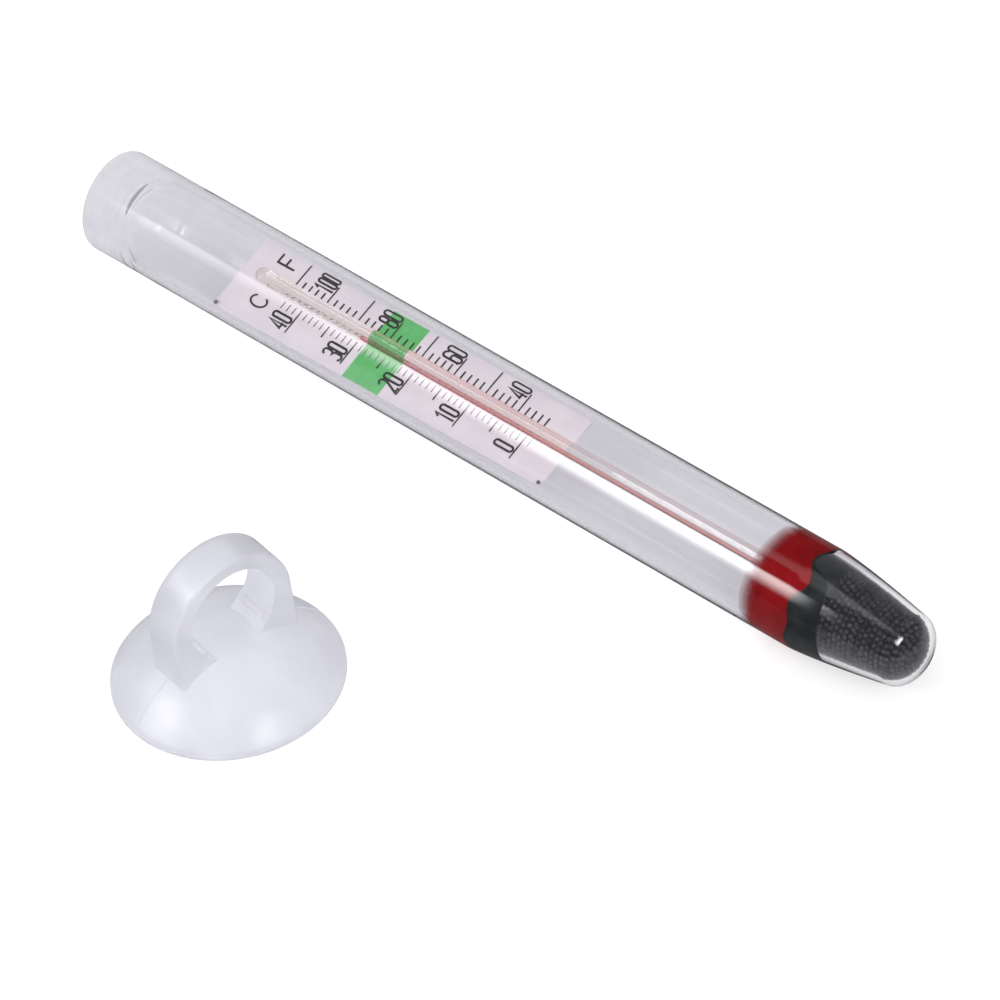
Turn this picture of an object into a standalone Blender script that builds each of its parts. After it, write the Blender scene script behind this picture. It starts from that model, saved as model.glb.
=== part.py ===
"""Glass aquarium thermometer and the suction cup that holds it, both lying on a table top.

The thermometer is built upright, tip down, on the axis of an empty, and the empty lays it down along X with its flat
end at -X. The cup stands on its rim beside it, and the tube clips through the cup's ring in use. The origin is on the
table, midway between the ends and sides of the pair. Lengths are in metres.
"""

import math

import bmesh
import bpy
from mathutils import Matrix, Vector

MM = 0.001
GAP = 0.1 * MM  # left between neighbouring pieces
SLIP = 0.03 * MM  # left between the spirit and the glass round it

# Outer tube: a thin-walled cylinder that narrows to a round tip, closed at its other end by a thick disc
TUBE_LENGTH = 110.4 * MM
TUBE_RADIUS = 5.5 * MM
TUBE_WALL = 0.7 * MM
TIP_WALL = 0.9 * MM
TIP_HEIGHT = 2.5 * MM
TIP_RADIUS = 3.9 * MM
TAPER_HEIGHT = 14.0 * MM
TAPER_POWER = 1.3
END_THICKNESS = 3.7 * MM
END_CORNER = 1.1 * MM
END_CROWN = 0.35 * MM

# Scale card: the printed strip that the stem lies on
CARD_LENGTH = 44.5 * MM
CARD_WIDTH = 8.9 * MM
CARD_SHIFT = 0.12 * MM  # across the tube, away from the cup
CARD_THICKNESS = 0.25 * MM
CARD_HEIGHT = 69.0 * MM  # its middle, above the tip
CARD_TILT = math.radians(16.5)  # turned about the tube's axis, towards the cup
CARD_SKEW = math.radians(0.5)  # lies slightly askew in the tube
CARD_OFFSET = 0.05 * MM  # above the tube's axis
BEAD_RADIUS = 0.2 * MM
BEAD_INSET = 0.25 * MM

# Stem: a thick-walled capillary that ends in the bulb
STEM_RADIUS = 0.8 * MM
STEM_BOTTOM = 12.1 * MM
STEM_TOP = 88.9 * MM
STEM_SHIFT = 0.1 * MM  # sideways from above the tube's axis
BORE_RADIUS = 0.2 * MM
BORE_TOP = 87.0 * MM
BORE_SHIFT = (-0.22 * MM, -0.34 * MM)  # the bore and the bulb lie off the stem's axis: down, and towards the cup
BULB_RADIUS = 1.7 * MM
BULB_WALL = 0.3 * MM
BULB_BOTTOM = 5.0 * MM
BULB_SHOULDER = 2.0 * MM
BULB_NECK = 1.3 * MM
BULB_MOUTH = 0.2 * MM

# Spirit: it stands at 29.5 degrees C, and its top stretch is the piece that rises and falls
ZERO_HEIGHT = 51.6 * MM  # the 0 degrees C line, above the tip
DEGREE = 0.7635 * MM  # from one line of the Celsius scale to the next
READING = 29.5
SPIRIT_TOP_LENGTH = 10.0 * MM

# Fillings, as heights above the tip
SHOT_TOP = 9.6 * MM
PITCH_TOP = 14.0 * MM
WAX_TOP = 19.0 * MM

# Suction cup and its ring
CUP_RADIUS = 11.8 * MM
CUP_RISE = 5.8 * MM
CUP_LIP = 0.35 * MM
LIP_CHAMFER = 0.2 * MM
HOLLOW_RADIUS = 10.7 * MM
HOLLOW_RISE = 4.2 * MM
RING_RADIUS = 7.2 * MM
RING_CENTRE = 9.6 * MM
RING_SHIFT = 0.3 * MM  # the ring stands a little to one side of the dome's middle
RING_WIDTH = 4.4 * MM
RING_TURN = math.radians(-9.5)
RING_EDGE = 0.3 * MM
RING_FOOT = 2.0 * MM
HOLE_RADIUS = 5.1 * MM
HOLE_CENTRE = 10.2 * MM
RIB_RADIUS = 0.4 * MM
RIB_ANGLE = math.radians(43.0)  # below the level of the hole's centre

# Where the two pieces lie
CUP_SPACING = 39.1 * MM  # from the tube's axis to the middle of the cup
CUP_X = -2.3 * MM
TUBE_Y = (CUP_SPACING + CUP_RADIUS - TUBE_RADIUS) / 2
CUP_Y = TUBE_Y - CUP_SPACING

# Facets round each turned piece, and points along each rounded stretch of a profile
TUBE_STEPS = 40
STEM_STEPS = 20
CUP_STEPS = 48
DOME_POINTS = 7
TAPER_POINTS = 5
CORNER_POINTS = 4


def clear_scene():
    for obj in list(bpy.data.objects):
        bpy.data.objects.remove(obj, do_unlink=True)


def new_collection(name):
    collection = bpy.data.collections.new(name)
    bpy.context.scene.collection.children.link(collection)
    return collection


def new_material(name, colour, roughness, metallic=0.0):
    material = bpy.data.materials.new(name)
    material.use_nodes = True
    shader = material.node_tree.nodes["Principled BSDF"]
    shader.inputs["Base Color"].default_value = (*colour, 1.0)
    shader.inputs["Roughness"].default_value = roughness
    shader.inputs["Metallic"].default_value = metallic
    material.diffuse_color = (*colour, 1.0)
    return material


def new_empty(name, collection, parent=None):
    empty = bpy.data.objects.new(name, None)
    empty.empty_display_size = TUBE_RADIUS
    empty.parent = parent
    collection.objects.link(empty)
    return empty


def new_object(name, mesh, collection, parent, material=None):
    obj = bpy.data.objects.new(name, mesh)
    obj.parent = parent
    if material:
        mesh.materials.append(material)
    collection.objects.link(obj)
    return obj


def mesh_from_bmesh(name, bm):
    mesh = bpy.data.meshes.new(name)
    bm.to_mesh(mesh)
    bm.free()
    return mesh


def turned(name, profile, steps, collection, parent, material=None):
    """A piece turned about its own Z axis, from (radius, height) points that run down its outer side."""
    bm = bmesh.new()
    points = [bm.verts.new((radius, 0, height)) for radius, height in profile]
    for start, end in zip(points, points[1:]):
        bm.edges.new((start, end))
    if profile[0][0] > 0:
        bm.edges.new((points[-1], points[0]))
    obj = new_object(name, mesh_from_bmesh(name, bm), collection, parent, material)
    screw = obj.modifiers.new("turn", "SCREW")
    screw.steps = steps
    screw.render_steps = steps
    screw.use_merge_vertices = True
    screw.merge_threshold = 0.001 * MM
    screw.use_smooth_shade = True
    return obj


def arc(centre, radii, start, end, count):
    """Points on an ellipse about centre, at count + 1 angles from start to end, counted from +radius towards +height."""
    angles = [start + (end - start) * i / count for i in range(count + 1)]
    return [(centre[0] + radii[0] * math.cos(a), centre[1] + radii[1] * math.sin(a)) for a in angles]


def on_axis(profile):
    """The profile with its last point put exactly on the axis."""
    return profile[:-1] + [(0.0, profile[-1][1])]


def cut(obj, cutter, operation="DIFFERENCE"):
    boolean = obj.modifiers.new(cutter.name, "BOOLEAN")
    boolean.operation = operation
    boolean.solver = "EXACT"
    boolean.object = cutter


def mark_cutter(obj):
    obj.hide_render = True
    obj.display_type = "WIRE"
    return obj


def tube_radius(height):
    """Outer radius of the tube at a height above the top of its round tip."""
    if height >= TAPER_HEIGHT:
        return TUBE_RADIUS
    along = (height - TIP_HEIGHT) / (TAPER_HEIGHT - TIP_HEIGHT)
    return TIP_RADIUS + (TUBE_RADIUS - TIP_RADIUS) * (1 - (1 - along) ** TAPER_POWER)


def tip_profile(inset, top):
    """The tube's side from a height down to its tip, moved inwards by inset."""
    taper = [TIP_HEIGHT + (TAPER_HEIGHT - TIP_HEIGHT) * i / TAPER_POINTS for i in range(TAPER_POINTS, 0, -1)]
    heights = [top] + [height for height in taper if height < top]
    side = [(tube_radius(height) - inset, height) for height in heights]
    thickness = inset * TIP_WALL / TUBE_WALL
    dome = arc((0, TIP_HEIGHT), (TIP_RADIUS - inset, TIP_HEIGHT - thickness), 0, -math.pi / 2, DOME_POINTS)
    return side + on_axis(dome)


def make_outer_tube(collection, parent):
    glass = new_material("tube_glass", (0.86, 0.88, 0.93), 0.03)
    top = TUBE_LENGTH - END_THICKNESS - GAP
    outside = tip_profile(0.0, top)
    inside = tip_profile(TUBE_WALL, top)
    turned("outer_tube", outside + inside[::-1], TUBE_STEPS, collection, parent, glass)


def make_end_disc(collection, parent):
    glass = new_material("end_glass", (0.84, 0.86, 0.92), 0.03)
    flat = TUBE_RADIUS - END_CORNER
    corner_height = TUBE_LENGTH - END_CROWN - END_CORNER
    crown = [(0.0, TUBE_LENGTH), (flat / 2, TUBE_LENGTH - END_CROWN / 4)]
    corner = arc((flat, corner_height), (END_CORNER, END_CORNER), math.pi / 2, 0, CORNER_POINTS)
    bottom = TUBE_LENGTH - END_THICKNESS
    turned("end_disc", crown + corner + [(TUBE_RADIUS, bottom), (0.0, bottom)], TUBE_STEPS, collection, parent, glass)


def make_card(collection, parent):
    """The strip and the two beads of adhesive on its corners, on the side of the cup."""
    paper = new_material("card_paper", (0.86, 0.77, 0.82), 0.6)
    glue = new_material("dark_adhesive", (0.05, 0.05, 0.06), 0.4)
    holder = new_empty("card_holder", collection, parent)
    turn = Matrix.Rotation(-CARD_TILT, 4, "Z")
    skew = Matrix.Rotation(CARD_SKEW, 4, "X")
    middle = Matrix.Translation(turn @ Vector((CARD_OFFSET, 0, 0)) + Vector((0, 0, CARD_HEIGHT)))
    holder.matrix_local = middle @ turn @ skew

    bm = bmesh.new()
    size = Matrix.Diagonal((CARD_THICKNESS, CARD_WIDTH, CARD_LENGTH, 1))
    bmesh.ops.create_cube(bm, size=1.0, matrix=Matrix.Translation((0, CARD_SHIFT, 0)) @ size)
    new_object("scale_card", mesh_from_bmesh("scale_card", bm), collection, holder, paper)

    across = BEAD_INSET - CARD_WIDTH / 2 + CARD_SHIFT
    along = CARD_LENGTH / 2 - BEAD_INSET
    outwards = CARD_THICKNESS / 2 + GAP / 2 + BEAD_RADIUS
    for name, end in (("glue_bead_upper", 1), ("glue_bead_lower", -1)):
        bm = bmesh.new()
        bmesh.ops.create_uvsphere(bm, u_segments=12, v_segments=8, radius=BEAD_RADIUS)
        bead = new_object(name, mesh_from_bmesh(name, bm), collection, holder, glue)
        bead.location = (outwards, across, end * along)
        bead.data.shade_smooth()


def round_bar(radius, top, bottom):
    return [(0.0, top), (radius, top), (radius, bottom), (0.0, bottom)]


def make_stem(collection, cutters, parent, bore_axis):
    glass = new_material("stem_glass", (0.87, 0.84, 0.80), 0.05)
    rounded = arc((0, STEM_TOP - STEM_RADIUS), (STEM_RADIUS, STEM_RADIUS), math.pi / 2, 0, CORNER_POINTS)
    rounded[0] = (0.0, STEM_TOP)
    profile = rounded + [(STEM_RADIUS, STEM_BOTTOM), (0.0, STEM_BOTTOM)]
    stem = turned("capillary_stem", profile, STEM_STEPS, collection, parent, glass)
    bore = round_bar(BORE_RADIUS, BORE_TOP, STEM_BOTTOM - GAP)
    cut(stem, mark_cutter(turned("bore_space", bore, STEM_STEPS, cutters, bore_axis)))


def bulb_profile(grow, bottom):
    """The bulb's side from its mouth down to its round bottom, moved outwards by grow."""
    top = STEM_BOTTOM - GAP
    radius = BULB_RADIUS + grow
    shoulder = [(BULB_NECK + grow, top), (radius, top - BULB_SHOULDER)]
    return shoulder + on_axis(arc((0, bottom + radius), (radius, radius), 0, -math.pi / 2, CORNER_POINTS))


def make_bulb(collection, parent):
    glass = new_material("bulb_glass", (0.84, 0.84, 0.86), 0.05)
    outside = bulb_profile(0.0, BULB_BOTTOM)
    inside = bulb_profile(-BULB_WALL, BULB_BOTTOM + BULB_WALL)
    inside[0] = (BULB_MOUTH, inside[0][1])
    turned("bulb", outside + inside[::-1], STEM_STEPS, collection, parent, glass)


def make_spirit(collection, parent):
    spirit = new_material("red_spirit", (0.62, 0.03, 0.05), 0.15)
    fill = BULB_WALL + SLIP
    inside = bulb_profile(-fill, BULB_BOTTOM + fill)
    inside[0] = (BULB_MOUTH - SLIP, inside[0][1])
    turned("spirit_in_bulb", [(0.0, inside[0][1])] + inside, STEM_STEPS, collection, parent, spirit)

    radius = BORE_RADIUS - SLIP
    top = ZERO_HEIGHT + READING * DEGREE
    split = top - SPIRIT_TOP_LENGTH
    stretches = {"spirit_column": (split - SLIP, STEM_BOTTOM), "spirit_top": (top, split)}
    for name, (upper, lower) in stretches.items():
        turned(name, round_bar(radius, upper, lower), STEM_STEPS, collection, parent, spirit)


def make_stem_spaces(collection, stem_axis, bore_axis):
    """The room that the stem and the bulb need in the fillings round them."""
    stem = round_bar(STEM_RADIUS + GAP, WAX_TOP + GAP, STEM_BOTTOM - GAP)
    bulb = [(0.0, STEM_BOTTOM), (BULB_NECK + GAP, STEM_BOTTOM)] + bulb_profile(GAP, BULB_BOTTOM - GAP)
    return [
        mark_cutter(turned("stem_space", stem, STEM_STEPS, collection, stem_axis)),
        mark_cutter(turned("bulb_space", bulb, STEM_STEPS, collection, bore_axis)),
    ]


def make_fillings(collection, parent, stem_spaces):
    """Shot in the tip, pitch on the shot and red wax on the pitch, each with the bulb or the stem let into it."""
    shot = new_material("shot", (0.05, 0.05, 0.055), 0.35, 0.6)
    pitch = new_material("pitch", (0.012, 0.012, 0.014), 0.3)
    wax = new_material("red_wax", (0.50, 0.008, 0.015), 0.35)
    inset = TUBE_WALL + GAP
    profile = tip_profile(inset, SHOT_TOP)
    pieces = [turned("ballast_shot", [(0.0, SHOT_TOP)] + profile, TUBE_STEPS, collection, parent, shot)]
    for name, bottom, top, material in (
        ("pitch_plug", SHOT_TOP + GAP, PITCH_TOP, pitch),
        ("red_wax_plug", PITCH_TOP + GAP, WAX_TOP, wax),
    ):
        heights = [top + (bottom - top) * i / 3 for i in range(4)]
        side = [(tube_radius(height) - inset, height) for height in heights]
        pieces.append(turned(name, [(0.0, top)] + side + [(0.0, bottom)], TUBE_STEPS, collection, parent, material))
    for piece in pieces:
        for space in stem_spaces:
            cut(piece, space)


def cap_profile(radius, rise, base, count):
    """A shallow dome from its crown on the axis down to radius, as part of a sphere."""
    sphere = (radius**2 + rise**2) / (2 * rise)
    half_angle = math.asin(radius / sphere)
    centre = (0, base + rise - sphere)
    points = arc(centre, (sphere, sphere), math.pi / 2, math.pi / 2 - half_angle, count)
    return [(0.0, base + rise)] + points[1:]


def make_skirt(collection, parent, material):
    dome = cap_profile(CUP_RADIUS, CUP_RISE, CUP_LIP, DOME_POINTS)
    lip = [(CUP_RADIUS, LIP_CHAMFER), (CUP_RADIUS - LIP_CHAMFER, 0.0)]
    hollow = cap_profile(HOLLOW_RADIUS, HOLLOW_RISE, 0.0, DOME_POINTS)
    turned("suction_cup_skirt", dome + lip + hollow[::-1], CUP_STEPS, collection, parent, material)


def outline_mesh(name, outline, thickness):
    """A flat closed outline in XY, made thickness deep along Z as a mesh."""
    curve = bpy.data.curves.new(name, "CURVE")
    curve.dimensions = "2D"
    curve.fill_mode = "BOTH"
    curve.extrude = thickness / 2
    spline = curve.splines.new("POLY")
    spline.points.add(len(outline) - 1)
    for point, (x, y) in zip(spline.points, outline):
        point.co = (x, y, 0, 1)
    spline.use_cyclic_u = True
    guide = bpy.data.objects.new(name, curve)
    bpy.context.scene.collection.objects.link(guide)
    mesh = bpy.data.meshes.new_from_object(guide.evaluated_get(bpy.context.evaluated_depsgraph_get()))
    bpy.data.objects.remove(guide)
    bm = bmesh.new()
    bm.from_mesh(mesh)
    bmesh.ops.remove_doubles(bm, verts=bm.verts, dist=0.001 * MM)
    bmesh.ops.dissolve_limit(bm, angle_limit=math.radians(1), verts=bm.verts, edges=bm.edges)
    bmesh.ops.recalc_face_normals(bm, faces=bm.faces)
    bm.to_mesh(mesh)
    bm.free()
    return mesh


def rod(name, radius, length, centre, segments, collection, parent):
    """A round bar along X, used to cut or to build up the ring."""
    bm = bmesh.new()
    turn = Matrix.Translation(centre) @ Matrix.Rotation(math.pi / 2, 4, "Y")
    bmesh.ops.create_cone(
        bm, cap_ends=True, segments=segments, radius1=radius, radius2=radius, depth=length, matrix=turn
    )
    return mark_cutter(new_object(name, mesh_from_bmesh(name, bm), collection, parent))


def make_ring(collection, cutters, parent, material):
    """The arch on top of the cup, with the hole that the tube clips through and two grip ribs in it."""
    over = arc((RING_SHIFT, RING_CENTRE), (RING_RADIUS, RING_RADIUS), 0, math.pi, 4 * DOME_POINTS)
    outline = [(RING_SHIFT - RING_RADIUS, RING_FOOT), (RING_SHIFT + RING_RADIUS, RING_FOOT)] + over
    mesh = outline_mesh("suction_cup_ring", outline, RING_WIDTH)
    mesh.transform(Matrix.Rotation(math.pi / 2, 4, "Z") @ Matrix.Rotation(math.pi / 2, 4, "X"))
    ring = new_object("suction_cup_ring", mesh, collection, parent, material)
    bevel = ring.modifiers.new("soft edges", "BEVEL")
    bevel.width = RING_EDGE
    bevel.segments = 2
    bevel.limit_method = "ANGLE"
    bevel.angle_limit = math.radians(60)

    middle = (0, RING_SHIFT, HOLE_CENTRE)
    cut(ring, rod("ring_hole", HOLE_RADIUS, 3 * RING_WIDTH, middle, CUP_STEPS, cutters, parent))
    for name, side in (("rib_left", -1), ("rib_right", 1)):
        y = RING_SHIFT + side * HOLE_RADIUS * math.cos(RIB_ANGLE)
        z = HOLE_CENTRE - HOLE_RADIUS * math.sin(RIB_ANGLE)
        length = RING_WIDTH - 2 * RING_EDGE
        cut(ring, rod(name, RIB_RADIUS, length, (0, y, z), 10, cutters, parent), "UNION")
    dome = cap_profile(CUP_RADIUS, CUP_RISE, CUP_LIP + GAP, DOME_POINTS)
    floor = [(CUP_RADIUS, -CUP_LIP), (0.0, -CUP_LIP)]
    cut(ring, mark_cutter(turned("dome_space", dome + floor, CUP_STEPS, cutters, parent)))


def build():
    clear_scene()
    parts = new_collection("glass_thermometer")
    cutters = new_collection("cutters")

    tube_axis = new_empty("thermometer", parts)
    tube_axis.location = (TUBE_LENGTH / 2, TUBE_Y, TUBE_RADIUS)
    tube_axis.rotation_euler = (0, -math.pi / 2, 0)
    stem_axis = new_empty("stem_axis", parts, tube_axis)
    above_card = CARD_OFFSET + CARD_THICKNESS / 2 + GAP / 2 + STEM_RADIUS
    stem_axis.location = (above_card * math.cos(CARD_TILT) + STEM_SHIFT, STEM_SHIFT, 0)
    bore_axis = new_empty("bore_axis", parts, stem_axis)
    bore_axis.location = (*BORE_SHIFT, 0)

    make_outer_tube(parts, tube_axis)
    make_end_disc(parts, tube_axis)
    make_card(parts, tube_axis)
    make_stem(parts, cutters, stem_axis, bore_axis)
    make_bulb(parts, bore_axis)
    make_spirit(parts, bore_axis)
    make_fillings(parts, tube_axis, make_stem_spaces(cutters, stem_axis, bore_axis))

    cup_axis = new_empty("suction_cup", parts)
    cup_axis.location = (CUP_X, CUP_Y, 0)
    ring_axis = new_empty("ring_axis", parts, cup_axis)
    ring_axis.rotation_euler = (0, 0, RING_TURN)
    vinyl = new_material("clear_vinyl", (0.82, 0.81, 0.88), 0.25)
    make_skirt(parts, cup_axis, vinyl)
    make_ring(parts, cutters, ring_axis, vinyl)
    bpy.context.view_layer.update()


build()
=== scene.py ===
"""Looks of the glass aquarium thermometer and its suction cup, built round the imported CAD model.

Sizes are in metres. The thermometer is described upright, tip down, by radius and height above the tip,
and lies along X in the model, with its flat end at -X. The scale is described by its distance from the
flat end and from the middle of the card, positive on the Celsius side.
"""

import math
import random

import bmesh
import bpy
from mathutils import Matrix, Vector


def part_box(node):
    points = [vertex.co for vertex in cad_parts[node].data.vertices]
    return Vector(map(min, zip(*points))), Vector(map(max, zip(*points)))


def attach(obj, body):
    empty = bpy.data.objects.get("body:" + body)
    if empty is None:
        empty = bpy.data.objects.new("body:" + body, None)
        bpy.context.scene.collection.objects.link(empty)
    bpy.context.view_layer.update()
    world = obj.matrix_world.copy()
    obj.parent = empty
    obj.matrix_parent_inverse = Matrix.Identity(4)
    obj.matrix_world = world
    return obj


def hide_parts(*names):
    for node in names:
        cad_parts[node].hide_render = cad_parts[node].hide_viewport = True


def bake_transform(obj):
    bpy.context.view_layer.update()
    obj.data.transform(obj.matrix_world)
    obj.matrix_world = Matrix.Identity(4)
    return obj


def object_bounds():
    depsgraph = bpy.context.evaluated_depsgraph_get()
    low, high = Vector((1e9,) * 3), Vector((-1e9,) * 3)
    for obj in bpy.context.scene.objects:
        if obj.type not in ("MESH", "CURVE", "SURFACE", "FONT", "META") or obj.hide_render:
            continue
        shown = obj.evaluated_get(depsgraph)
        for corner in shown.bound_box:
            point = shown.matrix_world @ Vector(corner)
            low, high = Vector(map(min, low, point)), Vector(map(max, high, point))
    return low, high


MM = 0.001
SEED = 7
INSIDE = "inside"  # marks the inner surface of a piece of glass

# Tube: outer glass envelope
TUBE_WALL = 0.7 * MM
TIP_WALL = 0.45 * MM
TIP_HEIGHT = 2.3 * MM  # where the taper turns into the round tip
TAPER_LOW = 2.5 * MM
TAPER_LOW_RADIUS = 3.9 * MM
TAPER_HEIGHT = 14.0 * MM
TAPER_POWER = 1.3
END_THICKNESS = 3.7 * MM
END_CORNER = 0.8 * MM
END_DROP = 0.94 * MM  # how far the end lies inside the CAD end
CROWN_RINGS = 6
END_SLANT = 0.31 * MM  # the flat end is a little out of square
END_SLANT_WAY = math.radians(56)
GLASS_IOR = 1.5
END_IOR = 1.06  # the thick end bends light softly
END_SOFTNESS = 10.0 * MM
TIP_PAINTED_GREY = (0.80, 0.79, 0.82, 1.0)  # painted shade: the grey painted for the table seen through the glass is lighter at the tip, where the glass is thinner

# Card and its print
CARD_LENGTH = 44.5 * MM
CARD_WIDTH = 8.9 * MM
CARD_SHIFT = 0.12 * MM
CARD_THICKNESS = 0.25 * MM
CARD_CORNER = 0.25 * MM
CARD_HEIGHT = 69.0 * MM
CARD_TILT = math.radians(16.5)
CARD_SKEW = math.radians(0.5)
CARD_OFFSET = 0.05 * MM
ZONE_LIFT = 0.006 * MM
INK_LIFT = 0.014 * MM
INK_TOP = 0.024 * MM

# Fahrenheit scale, on the side away from the cup: distances from the flat end and across the card
F_100 = 29.97 * MM
F_TEN_DEGREES = 4.36 * MM
F_TOP = 110
F_BOTTOM = 40
F_LAST_TICKS = 4
F_INNER = -0.9 * MM
F_TICK_END = -2.42 * MM
F_NUMBERED_END = -3.75 * MM
F_LONG_END = -4.45 * MM
F_DIGITS = -3.5 * MM

# Celsius scale
C_ZERO = 58.79 * MM
C_DEGREE = 0.7635 * MM
C_TOP = 43
C_BOTTOM = -1
C_INNER = 0.5 * MM
C_TICK_END = 1.35 * MM
C_FIVE_END = 1.97 * MM
C_NUMBERED_END = 3.38 * MM
C_DIGITS = 2.5 * MM

TICK_WIDTH = 0.2 * MM
FINE_TICK_WIDTH = 0.12 * MM
LINE_WIDTH = 0.17 * MM
DIGIT_HEIGHT = 2.35 * MM
DIGIT_STROKE = 0.26 * MM
DIGIT_GAP = 0.25 * MM
F_TWO_DIGITS = 1.75 * MM
F_THREE_DIGITS = 2.1 * MM
C_TWO_DIGITS = 1.67 * MM
LETTER_WIDTH = 1.4 * MM
LETTER_BASE = 24.35 * MM
LETTERS = (("F", -3.5 * MM, 2.25 * MM, 0.25 * MM), ("C", 1.8 * MM, 2.0 * MM, 0.22 * MM))
LETTER_SPACING = 0.9  # of the width of the printed line
LETTER_POINTS = 8
ROUNDEST_END = 0.22  # of a digit's height
ZONE = (36.95 * MM, 41.8 * MM)
EDGE_MARGIN = 0.04 * MM

# Stem and bulb, and the spirit in them
STEM_RADIUS = 0.8 * MM
STEM_BOTTOM = 12.1 * MM
STEM_TOP = 88.9 * MM
STEM_SHIFT = 0.1 * MM
STEM_CLEARANCE = 0.05 * MM
BORE_RADIUS = 0.2 * MM
BORE_TOP = 87.0 * MM
BORE_SHIFT = (-0.22 * MM, -0.34 * MM)
BORE_IOR = 1.15  # the bore shows less than a polished one would
BULB_RADIUS = 1.7 * MM
BULB_WALL = 0.3 * MM
BULB_BOTTOM = 5.0 * MM
BULB_SHOULDER = 2.0 * MM
BULB_NECK = 1.3 * MM
ZERO_HEIGHT = 51.6 * MM
READING = 29.5
PAINTED_DARK_SIDE = Vector((0.0, -0.828, -0.56))  # painted shade: the side of the bore painted deepest red, where the thread's edge looks darker through the stem
# the deep red of that painted shade
PAINTED_EDGE_RED = (0.42, 0.03, 0.05, 1.0)
WETTING = 0.015 * MM  # how far a filling reaches into the glass that it wets
WETTED_GLOSS = 0.05  # hardly any shine where a filling sticks to the glass
THREAD_RINGS = 80

# Fillings, as heights above the tip
SHOT_TOP = 10.15 * MM
SHOT_TILT = 0.6 * MM
SHOT_TILT_WAY = math.radians(40)
PITCH_TOP = 13.6 * MM
WAX_TOP = 19.0 * MM
WAX_FILM = 0.5 * MM
WAX_FADE = 2.3 * MM
WAX_DISH = 0.9 * MM
WAX_DISH_POWER = 8  # nearly flat, turning up at the glass
WAX_RINGS = 12
PITCH_RINGS = 8
BORDER_WAVES = ((2, 0.26 * MM, -0.29), (3, 0.27 * MM, 0.22), (5, 0.23 * MM, -0.3), (7, 0.28 * MM, -1.43))

# Balls of shot: the spacings are in radii of a ball
SHOT_RADIUS = 0.31 * MM
SHOT_LAYERS = 4
SHOT_INSET = 1.1
SHOT_LAYER_GAP = 1.6
SHOT_ROW_GAP = 1.76
SHOT_GAP = 2.03
SHOT_UNEVEN_TURN = 0.07
SHOT_UNEVEN_PLACE = 0.12
SHOT_SMALLEST = 0.93
SHOT_LARGEST = 1.03

# Suction cup
CUP_RADIUS = 11.8 * MM
CUP_RISE = 5.8 * MM
CUP_LIP = 0.35 * MM
LIP_CHAMFER = 0.12 * MM
HOLLOW_RADIUS = 10.7 * MM
HOLLOW_RISE = 4.2 * MM
RING_RADIUS = 7.2 * MM
RING_CENTRE = 9.6 * MM
RING_SHIFT = 0.3 * MM
RING_WIDTH = 4.4 * MM
RING_TURN = math.radians(-9.5)
RING_EDGE = 0.35 * MM
LEG_FLARE = 0.45 * MM
RING_FOOT = 2.0 * MM
HOLE_RADIUS = 5.1 * MM
HOLE_CENTRE = 10.2 * MM
RIB_RADIUS = 0.4 * MM
RIB_ANGLE = math.radians(43.0)
ROOT_LIFT = 0.3 * MM  # the ring's feet end in the dome, this far above the hollow
SEAM_WIDTH = 0.25 * MM
SEAM_HEIGHT = 0.09 * MM
SEAM_SIDES = 8

TUBE_STEPS = 128
STEM_STEPS = 40
CUP_STEPS = 144
RIB_STEPS = 16
CURVE_POINTS = 20
SMOOTH_ANGLE = 40.0  # in degrees; sharper edges stay sharp
CUP_SMOOTH_ANGLE = 32.0
ALL_SMOOTH = 180.0

# Camera, lights and floor
CAMERA_AZIMUTH = math.radians(47.005)
CAMERA_ELEVATION = math.radians(45.249)
CAMERA_ROLL = math.radians(-7.284)
CAMERA_DISTANCE = 890.76 * MM
CAMERA_TARGET = Vector((3.25 * MM, 17.82 * MM, 0.0))
CAMERA_LENS = 319.03
FLOOR_SIZE = 3.0
FLOOR_GAP = 0.02 * MM
FLOOR_MIRRORED = (0.08, 0.08, 0.08, 1.0)
FLOOR_GLOW = 0.9  # lit a little from below, as a light table is
WHITE = (1.0, 1.0, 1.0, 1.0)
SKY = 1.0
SKY_CLEARNESS = 0.6  # how much of the sky is seen through frosted glass
SKY_MIRRORED = 0.05  # the studio round the lights is dark, as shiny surfaces show
GLASS_BOUNCES = 20
GLOSSY_BOUNCES = 8
CLEAR_BOUNCES = 32

# Softboxes: name, place from the tube's middle, size, radiance, the shares of its length and width over
# which its edges fade, and the direction of its length
LEVEL = Vector((1, 0, 0))
OBLIQUE = Vector((0.19, -0.30, 0.04))
SOFTBOXES = (
    ("key", (-0.22, -0.416, 0.325), (0.26, 0.323), 13.0, ((0.37, 0.37), (0.75, 0.21)), LEVEL),
    ("key_tail", (-0.40, -0.416, 0.325), (0.20, 0.323), 2.6, ((0.3, 0.3), (0.75, 0.21)), LEVEL),
    ("top", (-0.162, -0.03, 0.576), (0.38, 0.22), 0.9, ((0.3, 0.3), (0.1, 0.1)), OBLIQUE),
    ("rim", (0.432, -0.129, 0.39), (0.18, 0.32), 14.0, ((0.3, 0.3), (0.3, 0.3)), LEVEL),
)


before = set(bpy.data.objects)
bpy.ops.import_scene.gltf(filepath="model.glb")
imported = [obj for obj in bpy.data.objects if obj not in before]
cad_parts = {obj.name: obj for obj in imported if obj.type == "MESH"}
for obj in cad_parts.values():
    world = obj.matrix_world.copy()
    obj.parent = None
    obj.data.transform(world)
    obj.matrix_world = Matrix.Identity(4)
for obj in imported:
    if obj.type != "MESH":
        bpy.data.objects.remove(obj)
cad_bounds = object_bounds()

tip_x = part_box("outer_tube")[1].x
flat_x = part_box("end_disc")[0].x
tube_low, tube_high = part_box("outer_tube")
TUBE_LENGTH = tip_x - flat_x
TUBE_RADIUS = (tube_high.z - tube_low.z) / 2
tube_middle = (tube_low + tube_high) / 2
cup_low, cup_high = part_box("suction_cup_skirt")
cup_middle = (cup_low + cup_high) / 2

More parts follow.
